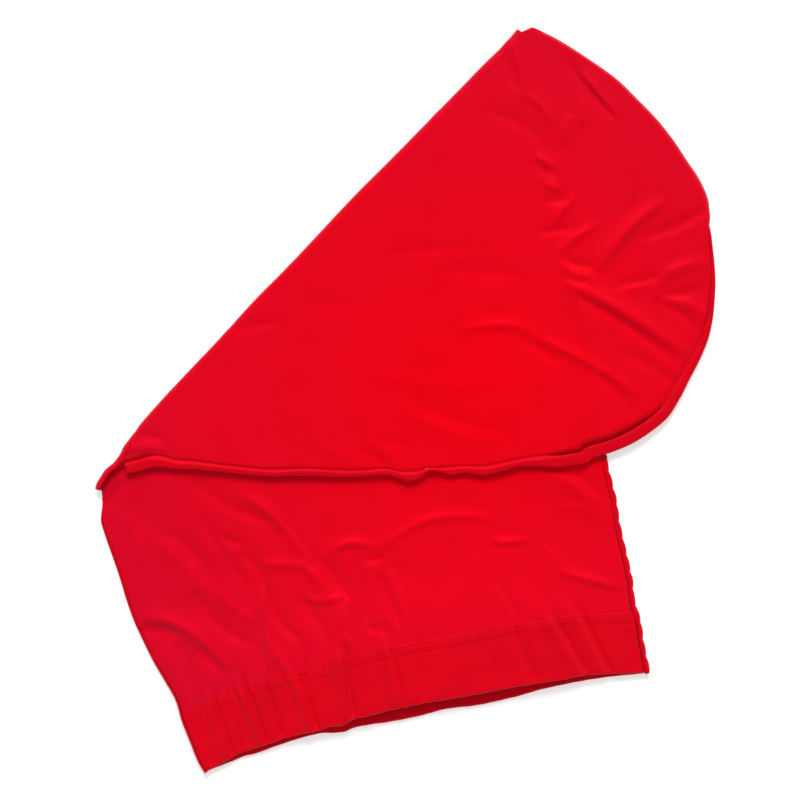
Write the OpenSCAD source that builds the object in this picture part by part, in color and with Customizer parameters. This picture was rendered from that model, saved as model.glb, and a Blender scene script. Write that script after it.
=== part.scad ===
// Kayak spray skirt, relaxed and laid flat: a two-panel fabric tube with an
// elastic waistband at one end and an elastic rand at the other.  The rand
// end is folded over the front of the skirt along one slanted line.
//
// Frame: +X along the waist hem, +Y from the waist towards the deck end, +Z up.
// The origin is the middle of the waist hem, on the floor.

/* [Waist] */
// Flat width of the relaxed waist
waist_w = 387; // [340:1:440]
// Height of the waistband, from its hem to its top edge
band_h = 50; // [44:1:64]
// Thickness of one ply of the waistband
band_ply = 0.8; // [0.5:0.1:1.0]
// Distance between the two rows that sew the band to the panels
stitch_gap = 8.5; // [6:0.5:10]
// Width of the waist elastic
elastic_w = 38; // [25:1:38]
// Thickness of the waist elastic
elastic_t = 1.2; // [0.8:0.1:1.4]
// Length of the front that the elastic gathers, from the left seam
gather_w = 175; // [120:1:200]
// Number of pleats that the elastic draws into the front
pleat_n = 10; // [8:1:14]
// Height of a pleat on the front band
pleat_h = 2.4; // [1:0.1:3.5]
// Number of ribs that the elastic draws into the back band
rib_n = 27; // [16:1:32]
// Height of a rib on the back band
rib_h = 0.6; // [0.3:0.1:0.8]
// How far the front of the waist stands open above the back
mouth_rise = 8.5; // [6:0.5:14]
// How much lower the hem's right end lies than its left
hem_slant = 5; // [0:1:10]
// How far the front hem draws back in its middle
front_hem_rise = 14; // [0:1:20]
// How far the back hem draws back in its middle
back_hem_rise = 4; // [0:1:8]

/* [Shell] */
// Thickness of the shell fabric of the panels
fabric_t = 0.8; // [0.5:0.1:1.0]
// Height of the left end of the fold above the hem
left_h = 252; // [220:1:300]
// How far the left end of the fold stands out past the hem
left_lean = 37; // [10:1:50]
// Bulge of the left side between hem and fold
left_bulge = 8; // [0:1:14]
// Height of the right end of the fold, the tip, above the hem
right_h = 555; // [500:1:600]
// How far the tip stands out past the hem
right_lean = 25; // [5:1:40]
// Outward bow of the fold line
fold_bow = 10; // [0:1:16]
// How far the folded flap reaches down from the fold line
flap_drop = 315; // [280:1:330]
// Distance over which the flap sinks to the floor beside the body
sink_w = 120; // [90:1:140]
// Height of the front's cloth above the back's, where both lie flat
front_lift = 2.2; // [1.4:0.1:4]
// Distance from the hem over which the open mouth closes
mouth_run = 190; // [140:5:230]
// Distance above the waistband over which the front comes down to its lay
front_settle = 70; // [40:5:100]
// Distance above the waistband over which the pleats fade
pleat_settle = 60; // [40:5:90]
// Distance above the waistband over which the back comes down to its lay
back_settle = 30; // [20:5:50]
// Distance above the waistband over which the front's folds begin
fold_start = 25; // [15:5:40]
// Distance below the flap over which the front's folds begin, and its offset
flap_fade = 50; // [30:5:80]
flap_clear = 10; // [5:1:20]

/* [Rand] */
// Width of the rand casing
casing_w = 10; // [9:0.5:14]
// Thickness of one ply of the rand casing
casing_ply = 0.6; // [0.4:0.1:0.7]
// How far the panel's edge is let into the casing
casing_let_in = 2.5; // [2:0.5:3]
// Width of the flat rand elastic
rand_elastic_w = 3; // [2:0.5:4]
// Thickness of the flat rand elastic
rand_elastic_t = 0.8; // [0.5:0.1:0.9]

/* [Side seams] */
// Width of the rolled right seam
right_seam_w = 5; // [4:0.5:7]
// Width of the rolled left seam
left_seam_w = 3; // [2:0.5:5]
// Length of one scallop of the right seam
scallop_len = 14.5; // [10:0.5:20]
// Depth of a scallop
scallop_h = 1.2; // [0:0.1:1.6]
// How far the right and the left seam stop short of the fold
right_seam_stop = 12; // [8:1:20]
left_seam_stop = 3; // [2:0.5:8]
// Distance above the waistband over which a seam thins to the panels
seam_settle = 12; // [6:1:20]

/* [Hidden] */

// Clearance between sewn layers
gap = 0.3;
// Play of the rand elastic at each side of its casing
rand_play = 0.2;
// Half thickness of the waistband, and of the cavity that holds its elastic
band_half = band_ply + elastic_t / 2 + gap;
band_cavity = elastic_t / 2 + gap;
// Half thickness of the rand casing, and of its cavity
casing_half = casing_ply + max(rand_elastic_t, fabric_t) / 2 + gap;
casing_cavity = casing_half - casing_ply;
// Where the panels' edges start inside the waistband
panel_start = band_h - stitch_gap;

// Middle heights of the four fabric layers, from the floor up
back_z = fabric_t / 2;
front_z = back_z + front_lift;
under_z = front_z + fabric_t / 2 + 2 * gap + casing_half;
top_z = under_z + 2 * casing_half + gap;
// Middle heights inside the waistband
back_band_z = band_half;
front_band_z = 2 * band_half + rib_h + gap + band_half;
// How far the flap sinks beside the body
sink_h = under_z - casing_half;

// Ends of the hem and of the fold line
hem_left = [-waist_w / 2, hem_slant / 2];
hem_right = [waist_w / 2, -hem_slant / 2];
fold_left = [-waist_w / 2 - left_lean, left_h];
fold_right = [waist_w / 2 + right_lean, right_h];
fold_len = norm(fold_right - fold_left);
fold_dir = (fold_right - fold_left) / fold_len;
fold_out = [-fold_dir[1], fold_dir[0]];
// Control point that bows the fold line, nearer its left end
fold_control = fold_left + 0.24 * fold_len * fold_dir + 2 * fold_bow * fold_out;

// Rand edge of the flap: [share along the fold, share of flap_drop below it]
RAND = [[0.02, 0.015], [0.045, 0.02], [0.075, 0.055], [0.11, 0.12],
    [0.15, 0.21], [0.25, 0.42], [0.34, 0.60], [0.43, 0.74], [0.52, 0.88],
    [0.60, 0.96], [0.68, 1.00], [0.76, 0.98], [0.85, 0.91], [0.94, 0.78],
    [1.00, 0.64], [1.022, 0.42], [1.025, 0.24], [1.01, 0.03]];

// Main folds of the front: [from, to, half width, height], in millimetres to the
// right of and above the hem's left end, for a waist 387 wide and a side 252 high
FRONT_FOLDS = [
    [[60, 215], [130, 140], 8, 2.6], [[86, 208], [138, 150], 7, 2.0],
    [[8, 205], [56, 98], 9, 2.8], [[85, 150], [66, 72], 7, 3.2],
    [[112, 124], [140, 64], 8, 2.4], [[-18, 138], [60, 70], 10, 3.0],
    [[150, 158], [190, 148], 8, 1.4], [[215, 158], [300, 128], 9, 1.6],
    [[286, 94], [290, 64], 7, 1.4]];
// Main wrinkles of the flap's top: [from, to, half width, height], in
// millimetres along the fold and below it, for that waist and a flap 315 deep
FLAP_FOLDS = [
    [[395, 182], [486, 222], 9, 2.2], [[330, 116], [420, 250], 10, 2.0],
    [[440, 120], [520, 160], 8, 1.8], [[236, 60], [250, 232], 9, 1.0],
    [[380, 60], [390, 150], 8, 1.6], [[430, 30], [470, 90], 8, 1.4],
    [[470, 200], [520, 232], 7, 1.6]];

function mix(a, b, t) = a * (1 - t) + b * t;
// Smooth step from 0 to 1
function ease(t) = let (c = max(0, min(1, t))) c * c * (3 - 2 * c);
function unit(v) = v / max(norm(v), 1e-9);

// Height of a rounded ridge from a to b, h high and about 2 w wide, at p
function ridge(p, a, b, w, h) =
    let (ab = b - a, t = max(0, min(1, (p - a) * ab / (ab * ab))),
        d = norm(p - a - t * ab) / w)
    h * exp(-d * d) * pow(sin(180 * t), 0.6);
// The folds fitted to a part that is sx times as wide and sy times as high
function fitted(list, sx, sy) = [for (f = list) [[f[0][0] * sx, f[0][1] * sy],
    [f[1][0] * sx, f[1][1] * sy], f[2] * sx, f[3] * sx]];
front_folds = fitted(FRONT_FOLDS, waist_w / 387, left_h / 252);
flap_folds = fitted(FLAP_FOLDS, waist_w / 387, flap_drop / 315);
function ridges(p, list) = [for (f = list) ridge(p, f[0], f[1], f[2], f[3])];
function largest(list) = len(list) == 0 ? 0 : max(list);

// Outer edge of the fold: a quadratic curve, u from 0 at the left end to 1 at
// the tip, and the line where the fold's bend starts, inside that edge
function fold_edge(u) = (1 - u) * (1 - u) * fold_left + 2 * u * (1 - u) * fold_control
    + u * u * fold_right;
function fold_normal(u) = let (d = unit(fold_edge(u + 0.01) - fold_edge(u - 0.01))) [-d[1], d[0]];
function fold_at(u) = fold_edge(u) - fold_normal(u) * (top_z - back_z + fabric_t) / 2;

// Hem to fold: the column u of a panel, d millimetres up from a hem that is
// drawn back by rise in its middle
function hem_at(u, rise) = mix(hem_left, hem_right, u) + [0, rise * 4 * u * (1 - u)];
function column_len(u, rise) = norm(fold_at(u) - hem_at(u, rise));
function body_at(u, d, rise) =
    let (run = column_len(u, rise), p = mix(hem_at(u, rise), fold_at(u), d / run),
        t = max(0, d - band_h) / (run - band_h))
    p - [left_bulge * 6.75 * t * t * (1 - t) * pow(1 - u, 3), 0];

// Rand edge as a smooth curve through RAND, u from 0 to 1 by its length
rand_points = [for (r = RAND) fold_left + r[0] * fold_len * fold_dir - r[1] * flap_drop * fold_out];
rand_n = len(rand_points);
function rand_point(i) = rand_points[max(0, min(rand_n - 1, i))];
function spline(a, b, c, d, t) = 0.5 * (2 * b + (c - a) * t
    + (2 * a - 5 * b + 4 * c - d) * t * t + (3 * b - a - 3 * c + d) * t * t * t);
rand_fine = [for (i = [0:rand_n - 2], k = [0:7])
    spline(rand_point(i - 1), rand_point(i), rand_point(i + 1), rand_point(i + 2), k / 8),
    rand_point(rand_n - 1)];
rand_run = [for (i = 0, s = 0; i < len(rand_fine);
    s = s + (i + 1 < len(rand_fine) ? norm(rand_fine[i + 1] - rand_fine[i]) : 0), i = i + 1) s];
rand_len = rand_run[len(rand_run) - 1];
rand_x = [for (i = [0:len(rand_fine) - 1]) [rand_run[i] / rand_len, rand_fine[i][0]]];
rand_y = [for (i = [0:len(rand_fine) - 1]) [rand_run[i] / rand_len, rand_fine[i][1]]];
function rand_at(u) = [lookup(u, rand_x), lookup(u, rand_y)];
// Horizontal direction from the rand edge into the flap
function rand_in(u) =
    let (d = unit(rand_at(min(1, u + 0.012)) - rand_at(max(0, u - 0.012)))) [-d[1], d[0]];

// The casing's loop turns this share of the rand's length short of each end
loop_end = (casing_w * 2.6) / rand_len;
// The panels' edge lies inside the casing, and comes out of it at the corners
tuck_end = 0.95 * loop_end;
function cloth_edge(u) = rand_at(u) + rand_in(u) * (casing_w - casing_let_in)
    * min(1, max(0.1, min(u, 1 - u) / tuck_end));
// Where a panel's columns meet the rand: the first ones gather in the left
// corner, the last one lies at the tip, and the others spread evenly between
function rand_shares(columns) = let (n = len(columns), last = columns[n - 2])
    [for (k = [0:n - 1]) k == n - 1 ? 1
        : columns[k] < corner_share ? tuck_end * (columns[k] - left_in) / (corner_share - left_in)
        : mix(tuck_end, 1 - tuck_end, (columns[k] - corner_share) / (last - corner_share))];

// How far the flap sinks at p, beside the right side of the body
function sink(p) = sink_h * ease((p[0] - hem_right[0] - right_lean * p[1] / right_h) / sink_w);

// Rise of the front above a flat lay: the open mouth, the gathers and folds
function mouth(u, d) = mouth_rise * ease(u / 0.42) * ease((1 - u) / 0.24)
    * (1 - ease(d / mouth_run));
function gather(u, d) =
    let (share = (u - left_in) / (gather_share - left_in))
    share > 1 ? 0 : pleat_h * (0.5 + 0.5 * cos(360 * pleat_n * share))
        * ease(share * 8) * ease((1 - share) * 5) * (1 - 0.75 * ease((d - band_h) / pleat_settle));
// Middle height of the front band, straight from its hem to its top edge
function band_height(u, d) = front_band_z + gather(u, band_h)
    + mix(mouth(u, 0), mouth(u, band_h), d / band_h);
// 0 beneath the folded flap, and 1 well below its rand edge
rand_drop = [for (k = [0:12]) [RAND[k][0] * fold_len, RAND[k][1] * flap_drop]];
function below_flap(p) = let (f = flap_frame(p)) ease((f[1] - lookup(f[0], rand_drop) - flap_clear) / flap_fade);
function front_height(u, d, p) = d <= band_h ? band_height(u, d) : front_z
    + (front_band_z - front_z) * (1 - ease((d - band_h) / front_settle))
    + mouth(u, d) + gather(u, d)
    + ease((d - band_h) / fold_start) * below_flap(p) * largest(ridges(p - hem_left, front_folds));
function back_height(d) = mix(back_band_z, back_z, ease((d - band_h) / back_settle));
// Heights of the flap's two layers
function under_height(p) = under_z - sink(p);
function flap_frame(p) = [(p - fold_left) * fold_dir, -((p - fold_left) * fold_out)];
function top_height(p, wrinkled) = top_z - sink(p)
    + wrinkled * largest(ridges(flap_frame(p), flap_folds));

// Shares of the width that the side seams take, with their clearance
left_in = (left_seam_w + gap) / waist_w;
right_in = (right_seam_w + gap) / waist_w;
// Share of the width that is gathered on the front
gather_share = gather_w / waist_w;
// Columns of the front, two to a pleat and wider apart past the gathers, and
// columns of the back
front_columns = [
    for (k = [0:2 * pleat_n]) mix(left_in, gather_share, k / (2 * pleat_n)),
    for (k = [1:13]) mix(gather_share, 1 - right_in, k / 13)];
// Share of the width that is taken up by the left corner of the fold
corner_share = front_columns[round(pleat_n / 2)];
back_columns = [
    for (k = [0:3]) mix(left_in, corner_share, k / 4),
    for (k = [0:19]) mix(corner_share, 1 - right_in, k / 19)];

// ---- meshes ------------------------------------------------------------

// Two triangles for the quad a b c d
function quad(a, b, c, d) = [[a, b, c], [a, c, d]];
function flat(lists) = [for (l = lists) each l];

// Directions along a row of points, bisecting at each point
function along(row) = [for (i = [0:len(row) - 1])
    unit((i < len(row) - 1 ? unit(row[i + 1] - row[i]) : [0, 0, 0])
        + (i > 0 ? unit(row[i] - row[i - 1]) : [0, 0, 0]))];

// Closed sheet of thickness t around a grid of middle points, rows by columns
module sheet(grid, t) {
    rows = len(grid);
    cols = len(grid[0]);
    across = [for (row = grid) along(row)];
    up_cols = [for (c = [0:cols - 1]) along([for (r = [0:rows - 1]) grid[r][c]])];
    normals = [for (r = [0:rows - 1]) [for (c = [0:cols - 1])
        unit(cross(across[r][c], up_cols[c][r]))]];
    points = [for (side = [1, -1], r = [0:rows - 1], c = [0:cols - 1])
        grid[r][c] + side * normals[r][c] * t / 2];
    n = rows * cols;
    // i is the index of a point on the outer face, i + n the one below it
    faces = flat([for (r = [0:rows - 2], c = [0:cols - 2])
        let (i = r * cols + c, j = i + cols)
        concat(quad(i, j, j + 1, i + 1), quad(n + i, n + i + 1, n + j + 1, n + j))]);
    ends = flat([for (c = [0:cols - 2])
        let (i = c, j = n - cols + c)
        concat(quad(i, i + 1, n + i + 1, n + i), quad(j, n + j, n + j + 1, j + 1))]);
    sides = flat([for (r = [0:rows - 2])
        let (i = r * cols, j = i + cols - 1)
        concat(quad(i, n + i, n + i + cols, i + cols), quad(j, j + cols, n + j + cols, n + j))]);
    polyhedron(points, concat(faces, ends, sides), convexity = 8);
}

// Skin over rings of points; caps is the list of triangles that closes a
// ring, and an empty list joins the last ring to the first
module skin(rings, caps) {
    n = len(rings[0]);
    count = len(rings);
    spans = len(caps) > 0 ? count - 1 : count;
    walls = flat([for (r = [0:spans - 1], k = [0:n - 1])
        let (a = r * n, b = ((r + 1) % count) * n, m = (k + 1) % n)
        quad(a + k, b + k, b + m, a + m)]);
    last = (count - 1) * n;
    first_cap = caps;
    last_cap = [for (f = caps) [f[2] + last, f[1] + last, f[0] + last]];
    polyhedron([for (ring = rings) each ring], concat(walls, first_cap, last_cap), convexity = 8);
}

// Triangles that close a convex ring of n points
function fan(n) = [for (k = [1:n - 2]) [0, k, k + 1]];
// Section of a folded strip, [reach, height]: width w, open at reach w
function folded(w, half, cavity) = [
    [w, half], [half, half], [0, half * 0.45], [0, -half * 0.45], [half, -half],
    [w, -half], [w, -cavity], [half, -cavity], [half, cavity], [w, cavity]];
FOLDED_CAPS = [[0, 1, 8], [0, 8, 9], [1, 2, 8], [2, 3, 8], [3, 7, 8], [3, 4, 7],
    [4, 5, 6], [4, 6, 7]];

// ---- sub-parts -----------------------------------------------------------

// Rows of a panel: up the body, round the fold and down the flap
module panel(rise, is_front, columns, body_rows, turn_rows, flap_rows) {
    low = body_rows[len(body_rows) - 1];
    lower = [for (d = body_rows) [for (u = columns) let (p = body_at(u, d, rise))
        [p[0], p[1], is_front ? front_height(u, d, p) : back_height(d)]]];
    upper = [for (k = [1:4]) [for (u = columns)
        let (d = mix(low, column_len(u, rise), k / 5), p = body_at(u, d, rise))
        [p[0], p[1], is_front ? front_height(u, d, p) : back_height(d)]]];
    turn = [for (k = [0:turn_rows]) [for (u = columns)
        let (q = fold_at(u), a = 180 * k / turn_rows - 90, low_z = is_front ? front_z : back_z,
            high_z = is_front ? under_height(q) : top_height(q, 1),
            r = (high_z - low_z) / 2, out = fold_normal(u) * r * cos(a))
        [q[0] + out[0], q[1] + out[1], low_z + r + r * sin(a)]]];
    shares = rand_shares(columns);
    flap = [for (k = [1:flap_rows]) [for (c = [0:len(columns) - 1])
        let (p = mix(fold_at(columns[c]), cloth_edge(shares[c]), k / flap_rows))
        [p[0], p[1], is_front ? under_height(p) : top_height(p, ease((flap_rows - k) / 3))]]];
    sheet(concat(lower, upper, turn, flap), fabric_t);
}

module front_panel() {
    color([0.80, 0.02, 0.05]) panel(front_hem_rise, true, front_columns,
        [for (rise = [0, stitch_gap, fold_start, 2 * fold_start]) panel_start + rise], 3, 6);
}

module back_panel() {
    color([0.86, 0.02, 0.04]) panel(back_hem_rise, false, back_columns,
        [for (share = [0, 2 / 5, 13 / 15, 4 / 3, 2]) panel_start + share * back_settle], 4, 9);
}

// Waistband: a strip folded over its elastic, pleated along its length
module band(rise, is_front, stations) {
    section = folded(band_h, band_half, band_cavity);
    rings = [for (u = stations) [for (s = section)
        let (p = body_at(u, s[0], rise), rib = rib_h * (0.5 + 0.5 * cos(360 * rib_n * u)))
        [p[0], p[1], s[1] + (is_front ? band_height(u, s[0])
            : back_band_z + (s[1] > 0 ? rib : 0))]]];
    skin(rings, FOLDED_CAPS);
}

back_stations = [for (k = [0:2 * rib_n]) mix(left_in, 1 - right_in, k / (2 * rib_n))];

module waistband_front() { color([0.78, 0.01, 0.08]) band(front_hem_rise, true, front_columns); }

module waistband_back() { color([0.74, 0.01, 0.07]) band(back_hem_rise, false, back_stations); }

// Flat elastic that lies in the band's cavity between two shares of the width
module elastic(rise, is_front, stations) {
    lo = band_half + gap;
    hi = lo + min(elastic_w, panel_start - lo - gap);
    h = elastic_t / 2;
    rings = [for (u = stations) [for (s = [[hi, h], [lo, h], [lo, -h], [hi, -h]])
        let (p = body_at(u, s[0], rise))
        [p[0], p[1], s[1] + (is_front ? band_height(u, s[0]) : back_band_z)]]];
    skin(rings, fan(4));
}

module waist_elastic_front() {
    color([0.90, 0.90, 0.88]) elastic(front_hem_rise, true,
        [for (k = [0:2 * pleat_n]) front_columns[k]]);
}

module waist_elastic_back() {
    color([0.90, 0.90, 0.88]) elastic(back_hem_rise, false,
        [for (k = [0:12]) mix(left_in, 1 - right_in, k / 12)]);
}

// Loop round the rand: over the flap's top edge, round the tip, back along
// its under edge and round the left corner.  A section point is [reach into
// the flap, height above the strip's middle].
rand_steps = 38;
function rand_ring(u, turn, section) =
    let (c = rand_at(u), inward = rand_in(u), ahead = [inward[1], -inward[0]],
        outward = u > 0.5 ? ahead : -ahead,
        r = (top_z - under_z) / 2)
    [for (s = section)
        let (low = under_height(c + inward * s[0]),
            reach = (r + s[1]) * cos(turn), rise = (r + s[1]) * sin(turn))
        [c[0] + inward[0] * s[0] + outward[0] * reach,
         c[1] + inward[1] * s[0] + outward[1] * reach,
         low + r + rise]];
function rand_loop(section, turn_section) =
    let (u0 = loop_end, u1 = 1 - loop_end, run = [for (k = [0:rand_steps]) mix(u0, u1, k / rand_steps)])
    concat([for (u = run) rand_ring(u, 90, section)],
        [for (a = [45, 0, -45]) rand_ring(u1, a, turn_section)],
        [for (k = [0:rand_steps]) rand_ring(run[rand_steps - k], -90, section)],
        [for (a = [-45, 0, 45]) rand_ring(u0, a, turn_section)]);

module rand_casing() {
    color([0.83, 0.01, 0.12])
        skin(rand_loop(folded(casing_w, casing_half, casing_cavity),
            folded(casing_w - casing_let_in - 3 * gap, casing_half, casing_cavity)), []);
}

module rand_elastic() {
    room = casing_w - casing_let_in - casing_half;
    lo = casing_half + (room - min(rand_elastic_w, room - 2 * rand_play)) / 2;
    hi = lo + min(rand_elastic_w, room - 2 * rand_play);
    h = rand_elastic_t / 2;
    section = [[hi, h], [lo, h], [lo, -h], [hi, -h]];
    color([0.90, 0.90, 0.88])
        skin(rand_loop(section, section), []);
}

// Rolled seam that joins the two panels and the two bands along one side
module side_seam(share, is_right, steps, top) {
    run = column_len(is_right ? 1 : 0, back_hem_rise);
    rings = [for (k = [0:steps])
        let (d = (run - top) * k / steps,
            edge = is_right ? 1 : 0,
            inner = is_right ? 1 - share : share,
            pe = body_at(edge, d, 0), pi = body_at(inner, d, 0),
            wave = is_right ? scallop_h * abs(sin(180 * d / scallop_len)) : 0,
            out = unit(pe - pi), p0 = pe + out * (wave - scallop_h / 2 * (is_right ? 1 : 0)),
            pm = mix(pi, p0, 0.6),
            hi = front_height(edge, d, pi) + mix(band_half, fabric_t / 2, ease((d - band_h) / seam_settle)))
        !is_right
        ? [[pi[0], pi[1], 0], [pm[0], pm[1], 0], [p0[0], p0[1], hi * 0.3], [p0[0], p0[1], hi * 0.7],
           [pm[0], pm[1], hi], [pi[0], pi[1], hi]]
        : [[pi[0], pi[1], hi], [pm[0], pm[1], hi], [p0[0], p0[1], hi * 0.7], [p0[0], p0[1], hi * 0.3],
           [pm[0], pm[1], 0], [pi[0], pi[1], 0]]];
    skin(rings, fan(6));
}

module side_seam_left() {
    color([0.76, 0.01, 0.06]) side_seam(left_seam_w / waist_w, false, 22, left_seam_stop);
}

module side_seam_right() {
    color([0.76, 0.01, 0.08]) side_seam(right_seam_w / waist_w, true, 100, right_seam_stop);
}

front_panel();
back_panel();
waistband_front();
waistband_back();
waist_elastic_front();
waist_elastic_back();
rand_casing();
rand_elastic();
side_seam_left();
side_seam_right();
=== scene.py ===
"""Kayak spray skirt, relaxed and laid flat, with its deck end folded over the front."""
import math

import bmesh
import bpy
import numpy as np
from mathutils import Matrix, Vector


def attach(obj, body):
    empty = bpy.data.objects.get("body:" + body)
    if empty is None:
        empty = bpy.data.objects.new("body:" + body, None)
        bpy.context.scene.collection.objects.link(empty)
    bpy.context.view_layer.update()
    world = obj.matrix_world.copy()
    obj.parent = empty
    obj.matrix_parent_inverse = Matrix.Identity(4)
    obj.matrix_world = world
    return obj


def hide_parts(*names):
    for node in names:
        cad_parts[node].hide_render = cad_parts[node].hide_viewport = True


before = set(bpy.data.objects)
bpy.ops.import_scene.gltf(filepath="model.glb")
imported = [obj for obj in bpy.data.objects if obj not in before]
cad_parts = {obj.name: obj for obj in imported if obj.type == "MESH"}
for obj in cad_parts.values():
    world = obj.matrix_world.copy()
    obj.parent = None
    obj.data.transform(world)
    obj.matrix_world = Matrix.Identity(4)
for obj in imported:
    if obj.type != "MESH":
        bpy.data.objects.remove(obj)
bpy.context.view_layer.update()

MM = 0.001
SCENE = bpy.context.scene

# ---- sizes, in millimetres, as the solids have them -------------------------

WAIST_W = 387.0
BAND_H = 50.0
BAND_TOP = 52.0
ROWS = (50.4, 43.2)
BAND_PLY = 0.8
ELASTIC_W = 38.0
ELASTIC_T = 1.2
GATHER_W = 175.0
MOUTH_RISE = 8.5
MOUTH_RUN = 190.0
MOUTH_LEFT = 0.42
MOUTH_RIGHT = 0.24
FABRIC_T = 0.8
FRONT_LIFT = 2.2
FRONT_SETTLE = 70.0
FLAP_LIFT = 1.6
FOLD_SWELL = 0.9
LEFT_H = 252.0
LEFT_LEAN = 37.0
RIGHT_H = 555.0
RIGHT_LEAN = 25.0
SINK_W = 120.0
CASING_W = 10.0
CASING_PLY = 0.6
RAND_ELASTIC_AT = 2.2
RAND_ELASTIC_W = 3.0
RAND_ELASTIC_T = 0.8
RIGHT_SEAM_W = 5.0
RIGHT_SEAM_STOP = 12.0
LEFT_SEAM_W = 3.0
LEFT_SEAM_STOP = 3.0
SEAM_CLEAR = 0.1
SCALLOP_LEN = 14.5
SCALLOP_H = 1.2
RIB_N = 27
RIB_H = 0.6
GAP = 0.3
STITCH_PITCH = 4.9
STITCH_LEN = 3.1
STITCH_T = 0.5

BAND_HALF = BAND_PLY + ELASTIC_T / 2 + GAP
CASING_HALF = CASING_PLY + FABRIC_T / 2 + GAP
BACK_Z = FABRIC_T / 2
FRONT_Z = BACK_Z + FRONT_LIFT
UNDER_Z = FRONT_Z + FABRIC_T / 2 + 2 * GAP + CASING_HALF
TOP_Z = UNDER_Z + 2 * CASING_HALF + GAP
BACK_BAND_Z = BAND_HALF
FRONT_BAND_Z = 2 * BAND_HALF + RIB_H + GAP + BAND_HALF
SINK_H = UNDER_Z - CASING_HALF

FOLD_LEFT = np.array([-WAIST_W / 2 - LEFT_LEAN, LEFT_H])
FOLD_RIGHT = np.array([WAIST_W / 2 + RIGHT_LEAN, RIGHT_H])
FOLD_LEN = float(np.hypot(*(FOLD_RIGHT - FOLD_LEFT)))
FOLD_DIR = (FOLD_RIGHT - FOLD_LEFT) / FOLD_LEN
FOLD_OUT = np.array([-FOLD_DIR[1], FOLD_DIR[0]])

# Outlines of the cloth as it lies: points from left to right, or from the hem up
FRONT_HEM = [(-194, -1), (-180, 2), (-170, 5), (-160, 8), (-150, 9), (-138, 10), (-120, 12),
             (-100, 12.5), (-90, 12), (-80, 13), (-70, 12), (-60, 14.5), (-40, 15), (-16, 15),
             (9, 14), (37, 12), (81, 10), (117, 7), (136, 6), (160, 1.5), (175, -2), (190, -5),
             (193.5, -5)]
BACK_HEM = [(-194, -1.5), (-185, 0), (-170, 2), (-157, 4), (-147, 4), (-135, 5.5), (-120, 7),
            (-105, 8), (-90, 8), (-80, 6), (-70, 4.5), (-62, 6), (-47, 5.5), (-32, 4), (-5, 3),
            (18, 3.5), (45, 0.5), (78, 0), (102, 1), (136, 0), (160, -2), (175, -4), (190, -6),
            (193.5, -6)]
LEFT_SIDE = [(-194, -1), (-197.3, 10), (-200, 28), (-202.7, 46), (-203.8, 64), (-209, 82),
             (-215, 101), (-219.5, 120), (-223, 138), (-225, 156), (-226, 173), (-227.6, 191),
             (-229.5, 209), (-231, 227), (-231, 240), (-230, 250)]
RIGHT_SIDE = [(193.5, -5), (193.6, 4), (194.3, 22), (195.7, 39), (195, 57), (197, 73),
              (197.5, 91), (197.5, 108), (198, 126), (199.5, 142), (199.5, 160), (199.5, 178),
              (202, 210), (218, 552)]
FOLD_LINE = [(-230, 250), (-227, 257.5), (-222, 263), (-216, 268.5), (-206, 274), (-191, 288),
             (-175, 301.5), (-138, 327), (-98, 353), (-60, 379), (-20, 404), (39, 443),
             (100, 481), (160, 519), (200, 544), (214, 555.5)]
RAND_EDGE = [(-222, 255), (-213, 260), (-200, 260), (-187, 260), (-172, 260), (-157, 254.5),
             (-140, 250), (-120, 243), (-100, 236), (-80, 229.5), (-68, 227), (-50, 223),
             (-24, 216), (0, 211), (14, 208.5), (23, 204), (32, 199), (42, 199.5), (50, 203),
             (58, 201), (68, 196), (80, 195), (95, 189.5), (110, 189), (125, 189.5),
             (140, 186.5), (155, 182), (168, 180.5), (181, 179.5), (188, 182.5), (205, 183.5),
             (228, 188), (255, 199.5), (270, 213), (283, 228), (295, 242), (306, 257),
             (314, 273), (319.5, 289), (324, 305), (327, 322), (329, 339), (332, 356),
             (333.5, 373), (330.5, 391), (323.5, 410), (316.5, 429), (307, 449), (295, 469),
             (281.5, 490), (262, 512), (239, 535), (222, 549)]


# ---- small helpers ----------------------------------------------------------

def mix(a, b, t):
    """Straight blend: a at t = 0, b at t = 1."""
    return a * (1 - t) + b * t


def ease(t):
    """Smooth step: 3 t squared less 2 t cubed, held at 0 and 1 outside."""
    c = np.clip(t, 0, 1)
    return c * c * (3 - 2 * c)


def unit(v):
    """Vectors divided by their own length."""
    return v / np.maximum(np.linalg.norm(v, axis=-1, keepdims=True), 1e-9)


def left_of(v):
    """Plane vectors turned a quarter turn to the left."""
    return np.stack([-v[..., 1], v[..., 0]], axis=-1)


def lifted(flat, z):
    """Plane points with their heights."""
    return np.concatenate([flat, z[..., None]], axis=-1)


def run_of(path):
    """Length run along a path, up to each of its points."""
    return np.concatenate([[0], np.cumsum(np.linalg.norm(np.diff(path, axis=0), axis=1))])


def waves(x, y, size, seed, count=9):
    """Soft unevenness: the mean of count cosine waves, about size long, in set directions."""
    rng = np.random.default_rng(seed)
    total = np.zeros(np.broadcast(x, y).shape)
    for angle, stretch, phase in rng.random((count, 3)):
        k = 2 * math.pi / (size * (0.7 + 0.8 * stretch))
        across = x * math.cos(math.pi * angle) + y * math.sin(math.pi * angle)
        total += np.cos(k * across + 2 * math.pi * phase)
    return total / math.sqrt(count)


# ---- where the cloth lies ----------------------------------------------------

def smooth_curve(points, steps):
    """Catmull-Rom curve through the points, with steps parts to a span."""
    p = np.asarray(points, float)
    a, b = np.vstack([p[:1], p[:-2]]), p[:-1]
    c, d = p[1:], np.vstack([p[2:], p[-1:]])
    t = (np.arange(steps) / steps)[None, :, None]
    a, b, c, d = (q[:, None, :] for q in (a, b, c, d))
    curve = 0.5 * (2 * b + (c - a) * t + (2 * a - 5 * b + 4 * c - d) * t * t
                   + (3 * b - a - 3 * c + d) * t ** 3)
    return np.vstack([curve.reshape(-1, p.shape[1]), p[-1:]])


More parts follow.
